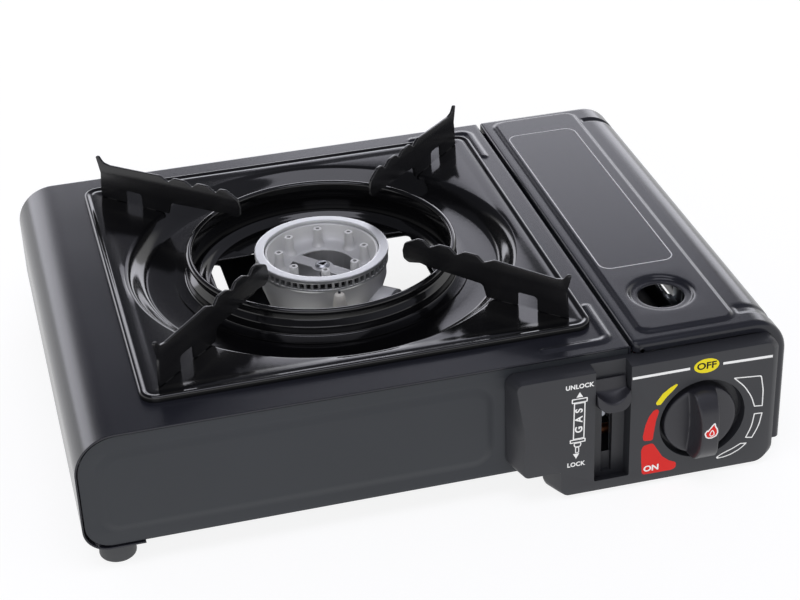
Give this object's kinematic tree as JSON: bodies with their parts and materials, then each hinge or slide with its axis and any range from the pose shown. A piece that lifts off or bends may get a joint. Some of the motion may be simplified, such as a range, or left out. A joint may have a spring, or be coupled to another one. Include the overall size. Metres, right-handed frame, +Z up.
{
  "type": "portable gas stove",
  "caption": "Low portable butane stove with a round burner and pan supports in a black drip tray, a lidded cartridge bay on the right, a control knob and a lock lever.",
  "frame": {"origin": "on the table, under the middle of the bounding box", "axes": "+X right, +Y back, +Z up; the control panel faces -Y"},
  "size_m": [0.34, 0.274, 0.0995],
  "materials": {
    "shell_paint": "satin charcoal paint with a fine texture",
    "panel_paint": "satin dark grey paint",
    "enamel": "gloss black vitreous enamel",
    "moulding": "fine-grained moulded plastic",
    "rubber": "matt moulded rubber",
    "zinc_steel": "zinc-plated sheet steel",
    "screw_steel": "plated steel",
    "cast_aluminium": "die-cast, machined on the ring",
    "brass": "turned",
    "copper": "drawn copper tube",
    "porcelain": "glazed white",
    "lead_rubber": "smooth red silicone",
    "igniter_plastic": "moulded black"
  },
  "bodies": {
    "stove": {"body_shell": "shell_paint", "front_panel": "panel_paint", "rear_panel": "panel_paint", "base_plate": "panel_paint", "bay_floor": "panel_paint", "partition": "zinc_steel", "foot_front_left": "rubber", "foot_rear_left": "rubber", "foot_front_right": "rubber", "foot_rear_right": "rubber", "foot_screws": "screw_steel", "control_panel": "moulding", "panel_screws": "screw_steel", "lid_hinge_pin": "screw_steel", "burner_cup": "cast_aluminium", "burner_port_ring": "cast_aluminium", "burner_post_plate": "cast_aluminium", "burner_screw": "screw_steel", "burner_bracket": "zinc_steel", "mixing_tube": "zinc_steel", "air_collar": "cast_aluminium", "gas_jet": "brass", "gas_pipe": "copper", "pipe_nuts": "brass", "electrode_ceramic": "porcelain", "electrode_pin": "screw_steel", "electrode_clip": "zinc_steel", "ignition_lead": "lead_rubber", "regulator_bracket": "zinc_steel", "valve_block": "cast_aluminium", "regulator_body": "cast_aluminium", "diaphragm_cover": "zinc_steel", "cover_screws": "screw_steel", "cartridge_inlet": "brass", "inlet_seal": "rubber", "piezo_igniter": "igniter_plastic", "notch_guide": "zinc_steel", "lever_pin": "screw_steel", "lever_bracket": "zinc_steel", "bracket_screws": "screw_steel"},
    "lid": {"cartridge_lid": "shell_paint", "lid_hinge_leaves": "zinc_steel"},
    "tray": {"drip_tray": "enamel", "wind_ring": "enamel", "pan_support_front_right": "enamel", "pan_support_rear_right": "enamel", "pan_support_rear_left": "enamel", "pan_support_front_left": "enamel"},
    "knob": {"control_knob": "moulding", "valve_stem": "brass"},
    "lever": {"lock_lever": "zinc_steel", "lever_pad": "moulding"},
    "pusher": {"cartridge_pusher": "zinc_steel"}
  },
  "joints": [
    {"name": "lid_hinge", "type": "hinge", "parent": "stove", "child": "lid", "pos_m": [0.1655, 0.012, 0.0082], "axis": [0, 1, 0], "range_deg": [0, 92]},
    {"name": "tray_lift", "type": "slide", "parent": "stove", "child": "tray", "axis": [0, 0, 1], "range_m": [0, 0.06]},
    {"name": "knob_turn", "type": "hinge", "parent": "stove", "child": "knob", "pos_m": [0.1233, -0.124, 0.0324], "axis": [0, -1, 0], "range_deg": [0, 135]},
    {"name": "lever_swing", "type": "hinge", "parent": "stove", "child": "lever", "pos_m": [0.0789, -0.07802, 0.037], "axis": [1, 0, 0], "range_deg": [0, 40]},
    {"name": "pusher_slide", "type": "slide", "parent": "stove", "child": "pusher", "axis": [0, -1, 0], "range_m": [0, 0.0083]}
  ],
  "couplings": [
    {"joint": "pusher_slide", "follows": "lever_swing", "m_per_rad": 0.011757}
  ]
}
